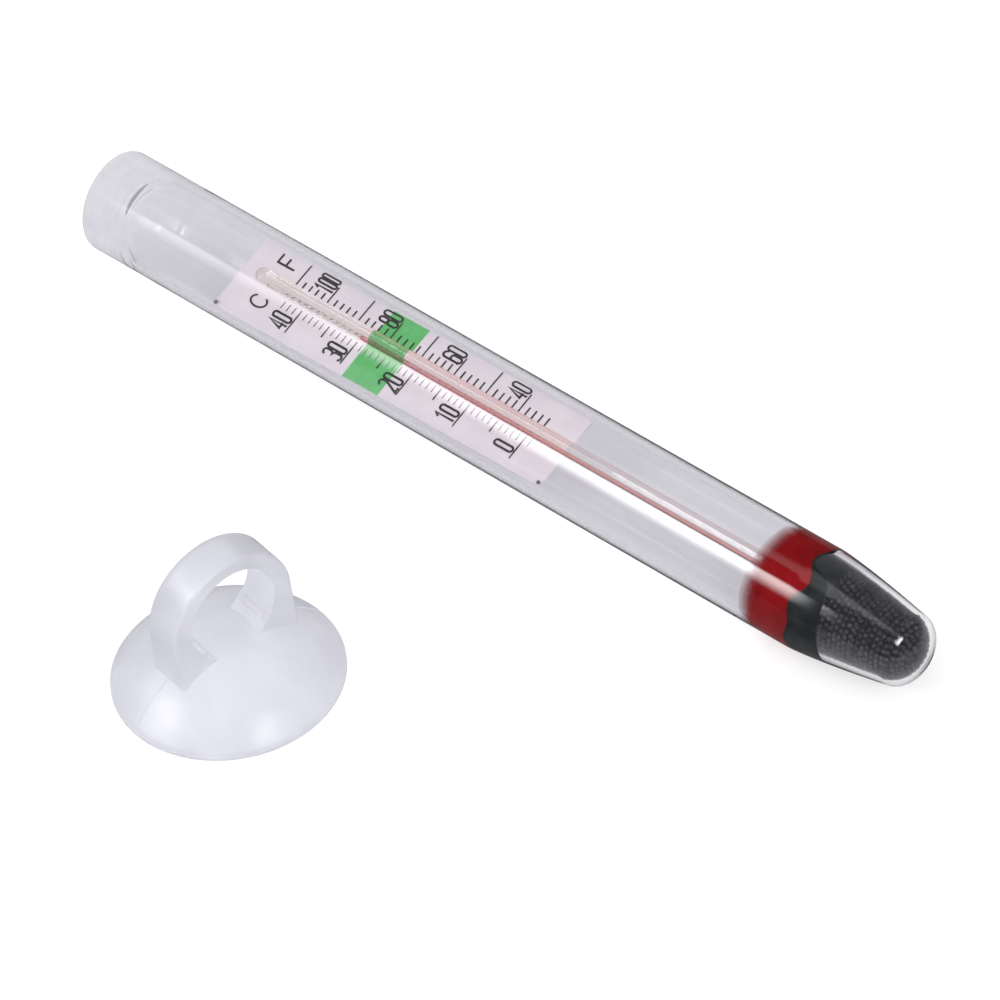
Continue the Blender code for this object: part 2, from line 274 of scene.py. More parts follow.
# Places of the thermometer's parts in the model, from (radius, radius, height above the tip)
UPRIGHT_TO_LYING = Matrix.Rotation(-math.pi / 2, 4, "Y")
TUBE_PLACE = Matrix.Translation((tip_x, tube_middle.y, tube_middle.z)) @ UPRIGHT_TO_LYING
CARD_TURN = Matrix.Rotation(-CARD_TILT, 4, "Z")
CARD_MIDDLE = Matrix.Translation(CARD_TURN @ Vector((CARD_OFFSET, 0, 0)) + Vector((0, 0, CARD_HEIGHT)))
CARD_PLACE = TUBE_PLACE @ CARD_MIDDLE @ CARD_TURN @ Matrix.Rotation(CARD_SKEW, 4, "X")
ABOVE_CARD = CARD_OFFSET + CARD_THICKNESS / 2 + STEM_CLEARANCE + STEM_RADIUS
STEM_AXIS = Vector((ABOVE_CARD * math.cos(CARD_TILT) + STEM_SHIFT, STEM_SHIFT, 0))
STEM_PLACE = TUBE_PLACE @ Matrix.Translation(STEM_AXIS)
BORE_AXIS = STEM_AXIS + Vector((*BORE_SHIFT, 0))
BORE_PLACE = TUBE_PLACE @ Matrix.Translation(BORE_AXIS)
CUP_PLACE = Matrix.Translation((cup_middle.x, cup_middle.y, 0))
RING_PLACE = CUP_PLACE @ Matrix.Rotation(RING_TURN, 4, "Z")


# ---------------------------------------------------------------- materials

def new_material(name):
    material = bpy.data.materials.new(name)
    material.use_nodes = True
    return material


def add_node(material, kind, **inputs):
    """A shader node with its inputs set: a link where the value is a socket, or else a plain value."""
    tree = material.node_tree
    node = tree.nodes.new(kind)
    for key, value in inputs.items():
        socket = node.inputs[int(key[1:])] if key[0] == "_" else node.inputs[key.replace("_", " ")]
        if isinstance(value, bpy.types.NodeSocket):
            tree.links.new(value, socket)
        else:
            socket.default_value = value
    return node


def principled(material):
    return material.node_tree.nodes["Principled BSDF"]


def set_shader(material, **inputs):
    shader = principled(material)
    for key, value in inputs.items():
        socket = shader.inputs[key.replace("_", " ")]
        if isinstance(value, bpy.types.NodeSocket):
            material.node_tree.links.new(value, socket)
        elif isinstance(value, tuple):
            socket.default_value = (*value, 1.0)
        else:
            socket.default_value = value
    return shader


def stretched_noise(material, scale, detail=2.0, roughness=0.5):
    """Noise whose scale is given along X, Y and Z, in waves a metre."""
    place = add_node(material, "ShaderNodeTexCoord").outputs["Object"]
    mapping = add_node(material, "ShaderNodeMapping", Vector=place, Scale=scale)
    noise = add_node(
        material, "ShaderNodeTexNoise", Vector=mapping.outputs[0], Scale=1.0, Detail=detail,
        Roughness=roughness,
    )
    return noise.outputs["Fac"]


def ramp(material, value, low, high, start=0.3, end=0.7):
    """A colour between low and high, as value goes from start to end."""
    node = add_node(material, "ShaderNodeValToRGB", Fac=value)
    first, last = node.color_ramp.elements
    first.position, last.position = start, end
    first.color, last.color = (*low, 1.0), (*high, 1.0)
    return node.outputs["Color"]


def mixed(material, share, first, second):
    """A colour between two others, the second one at share 1."""
    mix = add_node(material, "ShaderNodeMixRGB", Fac=share, Color1=first, Color2=second)
    return mix.outputs["Color"]


def spread(material, value, low, high):
    """A number between low and high, as value goes from 0 to 1."""
    node = add_node(material, "ShaderNodeMapRange", Value=value)
    node.inputs["To Min"].default_value = low
    node.inputs["To Max"].default_value = high
    return node.outputs[0]


def bump(material, height, strength, distance):
    node = add_node(material, "ShaderNodeBump", Strength=strength, Distance=distance, Height=height)
    return node.outputs["Normal"]


def along_x(material, start, end, ragged=None, raggedness=0.0):
    """A map range from 0 to 1 between two places along X, whose border wanders with the value ragged."""
    place = add_node(material, "ShaderNodeTexCoord").outputs["Object"]
    along = add_node(material, "ShaderNodeSeparateXYZ", Vector=place).outputs["X"]
    if ragged:
        wander = add_node(material, "ShaderNodeMath", _0=ragged, _1=raggedness, _2=along)
        wander.operation = "MULTIPLY_ADD"
        along = wander.outputs[0]
    node = add_node(material, "ShaderNodeMapRange", Value=along)
    node.interpolation_type = "SMOOTHSTEP"
    node.inputs["From Min"].default_value = start
    node.inputs["From Max"].default_value = end
    return node


def mirror_ray(owner, clearness=1.0):
    """1 for a ray from a shiny surface, 1 less the clearness for one through glass, and 0 for the rest."""
    path = add_node(owner, "ShaderNodeLightPath").outputs
    refracted = add_node(owner, "ShaderNodeMath", _0=path["Is Transmission Ray"], _1=clearness)
    refracted.operation = "MULTIPLY"
    direct = add_node(owner, "ShaderNodeMath", _0=path["Is Glossy Ray"], _1=refracted.outputs[0])
    direct.operation = "SUBTRACT"
    direct.use_clamp = True
    return direct.outputs[0]


def let_lamps_through(material, tint):
    """Light from lamps and matt surfaces goes straight through the clear material, tinted at each face."""
    tree = material.node_tree
    path = add_node(material, "ShaderNodeLightPath").outputs
    straight = add_node(material, "ShaderNodeMath", _0=path["Is Shadow Ray"], _1=path["Is Diffuse Ray"])
    straight.operation = "MAXIMUM"
    clear = add_node(material, "ShaderNodeBsdfTransparent", Color=(*tint, 1.0))
    mix = add_node(
        material, "ShaderNodeMixShader", _0=straight.outputs[0], _1=principled(material).outputs[0],
        _2=clear.outputs[0],
    )
    tree.links.new(mix.outputs[0], tree.nodes["Material Output"].inputs["Surface"])


def inside_mark(material):
    """1 on a glass piece's inner surface and 0 on its outer one."""
    mark = add_node(material, "ShaderNodeAttribute")
    mark.attribute_name = INSIDE
    return mark.outputs["Fac"]


def tube_glass():
    """Drawn glass with faint lengthwise draw lines. Painted shade: a grey-lavender tint on its outer surface
    stands in for the grey table seen through the glass, lighter at the tip.
    """
    material = new_material("tube_glass")
    lines = stretched_noise(material, (3.0, 520.0, 520.0), detail=3.0)
    # painted shade: this grey-lavender stands in for the table seen through the glass
    tint = ramp(material, lines, (0.56, 0.55, 0.60), (0.66, 0.65, 0.69))
    thinned = along_x(material, tip_x - TAPER_HEIGHT, tip_x - TIP_HEIGHT).outputs[0]
    painted_grey = mixed(material, thinned, tint, TIP_PAINTED_GREY)
    once = mixed(material, inside_mark(material), painted_grey, WHITE)
    bend = along_x(material, flat_x, flat_x + END_SOFTNESS)
    bend.inputs["To Min"].default_value = END_IOR
    bend.inputs["To Max"].default_value = GLASS_IOR
    set_shader(
        material, Base_Color=once, Roughness=0.01, IOR=bend.outputs[0], Transmission_Weight=1.0,
        Normal=bump(material, lines, 0.002, 0.05 * MM),
    )
    let_lamps_through(material, (0.955, 0.955, 0.965))
    return material


def stem_glass():
    """Clearer, slightly warm capillary glass with draw lines."""
    material = new_material("stem_glass")
    lines = stretched_noise(material, (20.0, 2500.0, 2500.0))
    tint = ramp(material, lines, (0.90, 0.87, 0.83), (0.98, 0.96, 0.93))
    set_shader(
        material, Base_Color=tint, Roughness=0.01, Transmission_Weight=1.0,
        IOR=spread(material, inside_mark(material), GLASS_IOR, BORE_IOR),
        Normal=bump(material, lines, 0.01, 0.02 * MM),
    )
    let_lamps_through(material, (0.97, 0.96, 0.95))
    return material


def card_paper():
    """Coated paper, slightly pink, with a fine fibre grain and faint mottling."""
    material = new_material("card_paper")
    mottle = stretched_noise(material, (260.0, 260.0, 260.0), detail=4.0)
    fibres = stretched_noise(material, (4200.0, 9000.0, 9000.0), detail=3.0)
    tint = ramp(material, mottle, (0.68, 0.615, 0.645), (0.73, 0.67, 0.69))
    set_shader(
        material, Base_Color=tint, Roughness=spread(material, fibres, 0.45, 0.7),
        Normal=bump(material, fibres, 0.15, 0.02 * MM),
    )
    return material


def black_ink():
    """Printing ink: dense, with small uneven patches."""
    material = new_material("black_ink")
    patches = stretched_noise(material, (2600.0, 2600.0, 2600.0), detail=3.0)
    tint = ramp(material, patches, (0.004, 0.004, 0.005), (0.020, 0.019, 0.022))
    set_shader(material, Base_Color=tint, Roughness=spread(material, patches, 0.35, 0.6))
    return material


def green_ink():
    """The green of the comfort zone, laid on thinner than the black."""
    material = new_material("green_ink")
    patches = stretched_noise(material, (900.0, 900.0, 900.0), detail=4.0)
    tint = ramp(material, patches, (0.085, 0.42, 0.110), (0.115, 0.50, 0.150))
    set_shader(material, Base_Color=tint, Roughness=spread(material, patches, 0.4, 0.6))
    return material


def red_spirit():
    """Dyed spirit in bulk, too deep to see through."""
    material = new_material("red_spirit")
    depth = stretched_noise(material, (120.0, 900.0, 900.0))
    tint = ramp(material, depth, (0.62, 0.015, 0.03), (0.80, 0.03, 0.045))
    set_shader(material, Base_Color=tint, Roughness=spread(material, depth, 0.08, 0.2))
    return material


def spirit_in_bore():
    """A thin thread of clear red spirit, painted deeper red along one side of the bore as painted shade for
    its darker-looking edge.
    """
    material = new_material("spirit_in_bore")
    place = add_node(material, "ShaderNodeTexCoord").outputs["Object"]
    toward_painted_side = add_node(material, "ShaderNodeVectorMath", _0=place, _1=PAINTED_DARK_SIDE)
    toward_painted_side.operation = "DOT_PRODUCT"
    middle = PAINTED_DARK_SIDE.dot(BORE_PLACE.translation)
    across = add_node(material, "ShaderNodeMapRange", Value=toward_painted_side.outputs["Value"])
    across.inputs["From Min"].default_value = middle
    across.inputs["From Max"].default_value = middle + BORE_RADIUS
    depth = stretched_noise(material, (120.0, 900.0, 900.0))
    body = ramp(material, depth, (0.93, 0.50, 0.50), (0.98, 0.62, 0.62))
    # painted shade: deeper red towards one side of the bore
    tint = mixed(material, across.outputs[0], body, PAINTED_EDGE_RED)
    set_shader(
        material, Base_Color=tint, Roughness=0.0, IOR=1.03, Transmission_Weight=1.0,
        Specular_IOR_Level=0.0,
    )
    let_lamps_through(material, (0.95, 0.6, 0.6))
    return material


def red_wax(fade_x, full_x):
    """Sealing wax. Its film on the glass thins out to nothing from full_x to fade_x."""
    material = new_material("red_wax")
    clouds = stretched_noise(material, (320.0, 320.0, 320.0), detail=4.0)
    tint = ramp(material, clouds, (0.15, 0.001, 0.002), (0.25, 0.003, 0.006))
    film = along_x(material, fade_x, full_x, clouds, 0.9 * MM)
    set_shader(
        material, Base_Color=tint, Roughness=spread(material, clouds, 0.4, 0.6), Alpha=film.outputs[0],
        Specular_IOR_Level=WETTED_GLOSS, Normal=bump(material, clouds, 0.2, 0.1 * MM),
    )
    return material


def black_pitch():
    """Set pitch with a faint cloudiness."""
    material = new_material("black_pitch")
    clouds = stretched_noise(material, (400.0, 400.0, 400.0), detail=3.0)
    tint = ramp(material, clouds, (0.006, 0.007, 0.008), (0.022, 0.026, 0.028))
    set_shader(
        material, Base_Color=tint, Roughness=spread(material, clouds, 0.3, 0.5),
        Specular_IOR_Level=WETTED_GLOSS, Normal=bump(material, clouds, 0.15, 0.1 * MM),
    )
    return material


def lead_shot():
    """Dull graphite-grey metal, each ball a little different."""
    material = new_material("lead_shot")
    patches = stretched_noise(material, (900.0, 900.0, 900.0), detail=1.0)
    grain = stretched_noise(material, (7000.0, 7000.0, 7000.0), detail=3.0)
    tint = ramp(material, patches, (0.006, 0.006, 0.008), (0.030, 0.030, 0.035))
    set_shader(
        material, Base_Color=tint, Metallic=0.2, Roughness=spread(material, grain, 0.16, 0.32),
        Specular_IOR_Level=0.35, Normal=bump(material, grain, 0.2, 0.02 * MM),
    )
    return material


def adhesive():
    """Near-black with small patches, for the two beads at the card's lower corners."""
    material = new_material("adhesive")
    patches = stretched_noise(material, (5000.0, 5000.0, 5000.0))
    tint = ramp(material, patches, (0.03, 0.03, 0.035), (0.10, 0.10, 0.11))
    set_shader(material, Base_Color=tint, Roughness=spread(material, patches, 0.25, 0.5))
    return material


def clear_vinyl():
    """Soft clear vinyl with a milky, slightly lavender haze and a faintly uneven moulded surface."""
    material = new_material("clear_vinyl")
    haze = stretched_noise(material, (170.0, 170.0, 170.0), detail=3.0)
    grain = stretched_noise(material, (900.0, 900.0, 900.0), detail=3.0)
    tint = ramp(material, haze, (0.55, 0.55, 0.60), (0.64, 0.64, 0.69))
    set_shader(
        material, Base_Color=tint, Roughness=spread(material, haze, 0.28, 0.38), IOR=1.4,
        Transmission_Weight=0.6, Coat_Weight=0.12, Coat_Roughness=0.25,
        Normal=bump(material, grain, 0.01, 0.1 * MM),
    )
    let_lamps_through(material, (0.94, 0.94, 0.96))
    return material


def floor_paint():
    """A pale matt table top that hardly shows in shiny surfaces."""
    material = new_material("floor")
    grain = stretched_noise(material, (60.0, 60.0, 60.0))
    tint = ramp(material, grain, (0.49, 0.49, 0.49), (0.51, 0.51, 0.51))
    seen = mixed(material, mirror_ray(material), tint, FLOOR_MIRRORED)
    set_shader(
        material, Base_Color=seen, Roughness=0.9, Specular_IOR_Level=0.0, Emission_Color=seen,
        Emission_Strength=FLOOR_GLOW,
    )
    return material


# ---------------------------------------------------------------- mesh helpers

def new_piece(name, bm, material, smooth_angle=SMOOTH_ANGLE):
    """The mesh as a new object, smooth but for edges sharper than smooth_angle degrees."""
    mesh = bpy.data.meshes.new(name)
    bm.to_mesh(mesh)
    bm.free()
    mesh.materials.append(material)
    mesh.shade_smooth()
    mesh.set_sharp_from_angle(angle=math.radians(smooth_angle))
    piece = bpy.data.objects.new(name, mesh)
    bpy.context.scene.collection.objects.link(piece)
    return piece


def arc(centre, radii, start, end, count=CURVE_POINTS):
    """Points on an ellipse about centre, from start to end, counted from +radius towards +height."""
    angles = [start + (end - start) * i / count for i in range(count + 1)]
    return [(centre[0] + radii[0] * math.cos(a), centre[1] + radii[1] * math.sin(a)) for a in angles]


def lathe(bm, profile, steps, place, wave=None):
    """A surface turned about the upright axis. Profile points are (radius, height), with a share added where
    wave(angle, share) is added to the height. Normals point out if the profile runs downwards."""
    rings = []
    for point in profile:
        radius, height = point[:2]
        count = steps if radius > 0.001 * MM else 1
        ring = []
        for i in range(count):
            angle = 2 * math.pi * i / steps
            lift = wave(angle, point[2]) if len(point) > 2 else 0.0
            corner = Vector((radius * math.cos(angle), radius * math.sin(angle), height + lift))
            ring.append(bm.verts.new(place @ corner))
        rings.append(ring)
    for upper, lower in zip(rings, rings[1:]):
        for i in range(steps):
            j = (i + 1) % steps
            left = [upper[i % len(upper)], lower[i % len(lower)]]
            right = [lower[j % len(lower)], upper[j % len(upper)]]
            bm.faces.new(list(dict.fromkeys(left + right)))


def stroke(bm, points, width, place, low, high, closed=False):
    """A printed line of constant width: a thin raised strip along points, mitred at its corners."""
    count = len(points)
    section = ((1, low), (-1, low), (-1, high), (1, high))
    rows = []
    for i, point in enumerate(points):
        ways = []
        if i or closed:
            ways.append((point - points[i - 1]).normalized())
        if i < count - 1 or closed:
            ways.append((points[(i + 1) % count] - point).normalized())
        way = sum(ways, Vector((0, 0))).normalized()
        reach = width / 2 / max(way.dot(ways[0]), 0.5)
        side = Vector((-way.y, way.x)) * reach
        rows.append([bm.verts.new(place(*(point + side * share), lift)) for share, lift in section])
    pairs = list(zip(rows, rows[1:])) + ([(rows[-1], rows[0])] if closed else [])
    for one, two in pairs:
        for i in range(4):
            j = (i + 1) % 4
            bm.faces.new((one[i], two[i], two[j], one[j]))
    if not closed:
        bm.faces.new(rows[0])
        bm.faces.new(rows[-1][::-1])


# ---------------------------------------------------------------- thermometer

def tube_radius(height):
    """Outer radius of the tube at a height above its tip, without the round tip itself."""
    if height >= TAPER_HEIGHT:
        return TUBE_RADIUS
    along = (height - TAPER_LOW) / (TAPER_HEIGHT - TAPER_LOW)
    return TAPER_LOW_RADIUS + (TUBE_RADIUS - TAPER_LOW_RADIUS) * (1 - (1 - along) ** TAPER_POWER)


def inner_radius(height):
    """Inner radius of the tube, whose wall thins out towards the tip."""
    thinned = min(height / TAPER_HEIGHT, 1.0) ** 2
    return tube_radius(height) - TIP_WALL - (TUBE_WALL - TIP_WALL) * thinned


def tip_profile(radius_at, thickness, top):
    """The tube's side from a height down to its tip, with its lowest point at thickness."""
    count = 2 * CURVE_POINTS
    start = TIP_HEIGHT + thickness
    taper = [start + (TAPER_HEIGHT - start) * i / count for i in range(count, 0, -1)]
    side = [(radius_at(height), height) for height in [top] + [h for h in taper if h < top]]
    round_tip = []
    for i in range(count):
        angle = math.pi / 2 * i / count
        height = start - TIP_HEIGHT * math.sin(angle)
        round_tip.append((radius_at(height) * math.cos(angle), height))
    return side + round_tip + [(0.0, thickness)]


def end_slant(angle, share):
    """How much further out the flat end lies at an angle, in full at share 1."""
    return share * END_SLANT * math.cos(angle - END_SLANT_WAY)


def mark_inside(bm, first):
    """Mark the vertices from number first on as an inner surface."""
    layer = bm.verts.layers.float.new(INSIDE)
    bm.verts.ensure_lookup_table()
    for vert in bm.verts[first:]:
        vert[layer] = 1.0


def make_tube():
    """The glass tube with its thick end, an outer and an inner surface in one piece."""
    bm = bmesh.new()
    flat = TUBE_RADIUS - END_CORNER
    top = TUBE_LENGTH - END_DROP
    shoulder = top - END_CORNER
    crown = [(flat * i / CROWN_RINGS, top) for i in range(CROWN_RINGS + 1)]
    corner = arc((flat, shoulder), (END_CORNER, END_CORNER), math.pi / 2, 0)
    slanted = [(radius, height, radius / TUBE_RADIUS) for radius, height in crown + corner[1:]]
    side = tip_profile(tube_radius, 0.0, shoulder - END_CORNER)
    lathe(bm, slanted + side, TUBE_STEPS, TUBE_PLACE, end_slant)

    outer_count = len(bm.verts)
    inner = TUBE_RADIUS - TUBE_WALL
    cavity_top = TUBE_LENGTH - END_THICKNESS
    rounded = arc((0, cavity_top - inner), (inner, inner), math.pi / 2, 0, 2 * CURVE_POINTS)
    wall = tip_profile(inner_radius, TIP_WALL, cavity_top - 2 * inner)
    cavity = [(0.0, cavity_top)] + rounded[1:] + wall
    lathe(bm, cavity[::-1], TUBE_STEPS, TUBE_PLACE)
    mark_inside(bm, outer_count)
    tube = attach(new_piece("glass_tube", bm, tube_glass()), "thermometer")
    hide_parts("outer_tube", "end_disc")


def on_card(from_end, across, lift):
    """A place on the card's printed face, from its distance to the flat end and to the card's middle."""
    height = TUBE_LENGTH - from_end - CARD_HEIGHT
    return CARD_PLACE @ Vector((CARD_THICKNESS / 2 + lift, -across, height))


def make_card():
    """The paper strip, with its corners clipped round."""
    bm = bmesh.new()
    corners = []
    for k, (sy, sz) in enumerate(((1, 1), (-1, 1), (-1, -1), (1, -1))):
        centre = (CARD_SHIFT + sy * (CARD_WIDTH / 2 - CARD_CORNER), sz * (CARD_LENGTH / 2 - CARD_CORNER))
        corners += arc(centre, (CARD_CORNER, CARD_CORNER), k * math.pi / 2, (k + 1) * math.pi / 2, 5)
    faces = []
    for lift in (-CARD_THICKNESS / 2, CARD_THICKNESS / 2):
        faces.append([bm.verts.new(CARD_PLACE @ Vector((lift, y, z))) for y, z in corners])
    low, high = faces
    for i in range(len(corners)):
        j = (i + 1) % len(corners)
        bm.faces.new((low[i], low[j], high[j], high[i]))
    bm.faces.new(high)
    bm.faces.new(low[::-1])
    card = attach(new_piece("scale_strip", bm, card_paper()), "thermometer")
    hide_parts("scale_card")


def vectors(*pairs):
    return [Vector(pair) for pair in pairs]


def rounded_end(middle, radii, start, end):
    return vectors(*arc(middle, radii, start, end, LETTER_POINTS))


def glyph(character, round_end):
    """The strokes of a digit or letter in a cell one wide and one high, as a list of (points, closed).
    Its round ends take up round_end of its height."""
    half_turn = math.pi
    over_top = rounded_end((0.5, 1 - round_end), (0.5, round_end), half_turn, 0)
    under = rounded_end((0.5, round_end), (0.5, round_end), 0, -half_turn)
    if character == "0":
        return [(over_top + under, True)]
    if character == "1":
        return [(vectors((0.1, 0.78), (0.6, 1.0), (0.6, 0.0)), False)]
    if character == "2":
        return [(over_top + vectors((1.0, 0.68), (0.0, 0.0), (1.0, 0.0)), False)]
    if character == "3":
        upper = over_top + vectors((1.0, 0.66), (0.8, 0.55), (0.45, 0.53))
        lower = vectors((0.8, 0.51), (1.0, 0.40)) + under
        return [(upper + lower, False)]
    if character == "4":
        return [(vectors((0.75, 0.0), (0.75, 1.0), (0.0, 0.27), (1.0, 0.27)), False)]
    if character == "6":
        bowl = rounded_end((0.5, 0.58 - round_end), (0.5, round_end), 0, half_turn)
        back = vectors((0.95, 1 - round_end)) + over_top[::-1] + vectors((0.0, round_end))
        return [(back + under[::-1] + bowl, False)]
    if character == "8":
        loops = []
        for low, high, inset in ((0.0, 0.53, 0.0), (0.53, 1.0, 0.06)):
            top = rounded_end((0.5, high - round_end), (0.5 - inset, round_end), half_turn, 0)
            bottom = rounded_end((0.5, low + round_end), (0.5 - inset, round_end), 0, -half_turn)
            loops.append((top + bottom, True))
        return loops
    if character == "F":
        outline = vectors((1.0, 1.0), (0.0, 1.0), (0.0, 0.0))
        return [(outline, False), (vectors((0.0, 0.52), (0.85, 0.52)), False)]
    if character == "C":
        opening = math.radians(35)
        bow = arc((0.5, 0.5), (0.55, 0.5), opening, 2 * math.pi - opening, 3 * LETTER_POINTS)
        return [(vectors(*bow), False)]
    raise ValueError(character)


def write(bm, text, base, middle, width, height, line):
    """Text across the card, its foot at the distance base from the flat end and its middle at middle across
    the card, with its top towards the flat end. It reads from the Celsius to the Fahrenheit side."""
    gap = line * LETTER_SPACING
    cell = (width - gap * len(text)) / len(text)
    for i, character in enumerate(text):
        left = -width / 2 + gap / 2 + i * (cell + gap)
        round_end = min(ROUNDEST_END, cell / 2 / height)
        for points, closed in glyph(character, round_end):
            placed = [Vector((base - y * height, middle - left - x * cell)) for x, y in points]
            stroke(bm, placed, line, on_card, INK_LIFT, INK_TOP, closed)


def rule(bm, along, start, end, width):
    """A scale line at one distance from the flat end, between two distances across the card."""
    stroke(bm, [Vector((along, start)), Vector((along, end))], width, on_card, INK_LIFT, INK_TOP)


def print_fahrenheit(bm):
    """Lines every 2 degrees, longer every 10, with numbers every 20."""
    per_degree = F_TEN_DEGREES / 10
    for degrees in range(F_TOP, F_BOTTOM - 2 * F_LAST_TICKS - 1, -2):
        along = F_100 + (100 - degrees) * per_degree
        if degrees % 20 == 10 and degrees >= F_BOTTOM:
            rule(bm, along, F_INNER, F_LONG_END, LINE_WIDTH)
        elif degrees % 20 == 0 and degrees >= F_BOTTOM:
            rule(bm, along, F_INNER, F_NUMBERED_END, LINE_WIDTH)
            width = F_THREE_DIGITS if degrees >= 100 else F_TWO_DIGITS
            write(bm, str(degrees), along - DIGIT_GAP, F_DIGITS, width, DIGIT_HEIGHT, DIGIT_STROKE)
        else:
            rule(bm, along, F_INNER, F_TICK_END, TICK_WIDTH)


def print_celsius(bm):
    """Lines every degree, longer every 5, with numbers every 10."""
    for degrees in range(C_TOP, C_BOTTOM - 1, -1):
        along = C_ZERO - degrees * C_DEGREE
        if degrees % 10 == 0:
            rule(bm, along, C_INNER, C_NUMBERED_END, LINE_WIDTH)
            width = C_TWO_DIGITS if degrees else C_TWO_DIGITS / 2
            write(bm, str(degrees), along - DIGIT_GAP, C_DIGITS, width, DIGIT_HEIGHT, DIGIT_STROKE)
        elif degrees % 5 == 0:
            rule(bm, along, C_INNER, C_FIVE_END, LINE_WIDTH)
        else:
            rule(bm, along, C_INNER, C_TICK_END, FINE_TICK_WIDTH)


def make_print():
    """Both scales and their letters as one raised print, and the green zone under it."""
    bm = bmesh.new()
    print_fahrenheit(bm)
    print_celsius(bm)
    for letter, middle, height, line in LETTERS:
        write(bm, letter, LETTER_BASE, middle, LETTER_WIDTH, height, line)
    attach(new_piece("scale_print", bm, black_ink()), "thermometer")

    bm = bmesh.new()
    zone = [Vector((along, -CARD_SHIFT)) for along in ZONE]
    stroke(bm, zone, CARD_WIDTH - EDGE_MARGIN, on_card, ZONE_LIFT / 2, ZONE_LIFT)
    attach(new_piece("green_zone", bm, green_ink()), "thermometer")


def make_stem():
    """The thick-walled capillary and its bulb, one piece of glass, with the bore through to the bulb."""
    bm = bmesh.new()
    rounded = arc((0, STEM_TOP - STEM_RADIUS), (STEM_RADIUS, STEM_RADIUS), math.pi / 2, 0)
    side = [(STEM_RADIUS, STEM_BOTTOM), (0.0, STEM_BOTTOM)]
    lathe(bm, [(0.0, STEM_TOP)] + rounded[1:] + side, STEM_STEPS, STEM_PLACE)

    neck = [(0.0, STEM_BOTTOM), (BULB_NECK, STEM_BOTTOM), (BULB_RADIUS, STEM_BOTTOM - BULB_SHOULDER)]
    belly = arc((0, BULB_BOTTOM + BULB_RADIUS), (BULB_RADIUS, BULB_RADIUS), 0, -math.pi / 2)
    lathe(bm, neck + belly[1:-1] + [(0.0, BULB_BOTTOM)], STEM_STEPS, BORE_PLACE)

    outer_count = len(bm.verts)
    hollow = BULB_RADIUS - BULB_WALL
    inside = [(0.0, BORE_TOP), (BORE_RADIUS, BORE_TOP - BORE_RADIUS), (BORE_RADIUS, STEM_BOTTOM)]
    inside += [(hollow, STEM_BOTTOM - BULB_SHOULDER)]
    floor = BULB_BOTTOM + BULB_WALL
    inside += arc((0, floor + hollow), (hollow, hollow), 0, -math.pi / 2)[:-1] + [(0.0, floor)]
    lathe(bm, inside[::-1], STEM_STEPS, BORE_PLACE)
    mark_inside(bm, outer_count)
    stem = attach(new_piece("glass_stem", bm, stem_glass()), "thermometer")
    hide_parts("capillary_stem", "bulb")


def make_thread():
    """The spirit in the bore, from the bulb to the reading. Its length is set by READING."""
    bm = bmesh.new()
    radius = BORE_RADIUS + WETTING
    top = ZERO_HEIGHT + READING * C_DEGREE
    meniscus = arc((0, top - radius), (radius, radius), math.pi / 2, 0, 6)
    length = top - radius - STEM_BOTTOM
    side = [(radius, top - radius - length * i / THREAD_RINGS) for i in range(1, THREAD_RINGS + 1)]
    lathe(bm, [(0.0, top)] + meniscus[1:] + side + [(0.0, STEM_BOTTOM)], STEM_STEPS, BORE_PLACE)
    thread = new_piece("red_thread", bm, spirit_in_bore())
    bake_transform(thread)
    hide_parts("spirit_column", "spirit_top")


def border_wave(angle, share):
    """Height of the ragged border between wax and pitch, round the tube."""
    return share * sum(size * math.sin(waves * angle - phase) for waves, size, phase in BORDER_WAVES)


def pitch_wave(angle, share):
    """The border with the wax at share 1, and at share 0 the slightly slanting top of the shot."""
    return border_wave(angle, share) + (1 - share) * SHOT_TILT * math.cos(angle - SHOT_TILT_WAY)


def filling_side(top, bottom, count, shares):
    """Points down the wetted inner wall from top to bottom, each with its share of the wave."""
    points = []
    for i in range(count + 1):
        height = top + (bottom - top) * i / count
        share = shares[0] + (shares[1] - shares[0]) * i / count
        points.append((inner_radius(height) + WETTING, height, share))
    return points


def make_wax():
    """The red plug, dished on top and drawn out to a film up the glass."""
    bm = bmesh.new()
    wall = TUBE_RADIUS - TUBE_WALL + WETTING
    rim = WAX_TOP + WAX_FILM
    floor = WAX_TOP - WAX_DISH
    shares = [i / WAX_RINGS for i in range(WAX_RINGS + 1)]
    dish = [(wall * share, floor + (rim - floor) * share**WAX_DISH_POWER) for share in shares]
    side = filling_side(rim, PITCH_TOP, WAX_RINGS, (0.0, 1.0))
    lathe(bm, dish + side[1:] + [(0.0, PITCH_TOP)], TUBE_STEPS, TUBE_PLACE, border_wave)
    fade_x = tip_x - rim
    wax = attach(new_piece("red_wax", bm, red_wax(fade_x, fade_x + WAX_FADE)), "thermometer")
    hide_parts("red_wax_plug")


def make_pitch():
    """The black plug between the wax and the shot."""
    bm = bmesh.new()
    side = filling_side(PITCH_TOP, SHOT_TOP, PITCH_RINGS, (1.0, 0.0))
    lathe(bm, [(0.0, PITCH_TOP)] + side + [(0.0, SHOT_TOP)], TUBE_STEPS, TUBE_PLACE, pitch_wave)
    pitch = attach(new_piece("black_pitch", bm, black_pitch()), "thermometer")
    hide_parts("pitch_plug")


def balls_round(radius):
    """How many balls fit in a ring of a radius."""
    return max(1, int(2 * math.pi * radius / (SHOT_RADIUS * SHOT_GAP)))


